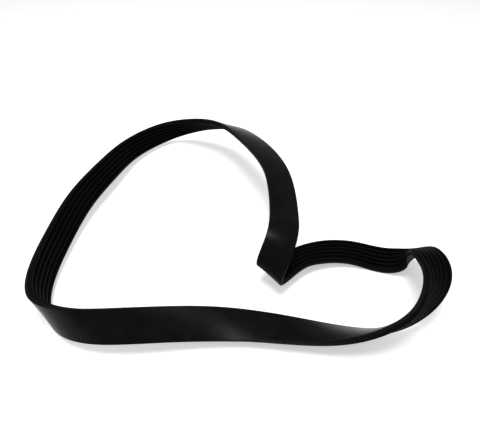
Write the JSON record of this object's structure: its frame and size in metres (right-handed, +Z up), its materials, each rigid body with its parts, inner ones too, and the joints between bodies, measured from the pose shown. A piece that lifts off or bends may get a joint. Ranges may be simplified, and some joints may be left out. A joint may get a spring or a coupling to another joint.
{
  "type": "ribbed alternator belt",
  "caption": "Endless ribbed rubber belt with a smooth back, lying loose in a heart-shaped loop with one lobe folded over.",
  "frame": {"origin": "bottom centre of the belt's box, on the surface it lies on", "axes": "+Z up, +X along the loop's longest side towards the folded lobe, +Y away from the viewer of the picture"},
  "size_m": [0.2844, 0.2586, 0.0478],
  "materials": {
    "belt_rubber": "satin black moulded rubber"
  },
  "bodies": {
    "root": {"ribbed_belt": "belt_rubber"}
  },
  "joints": []
}
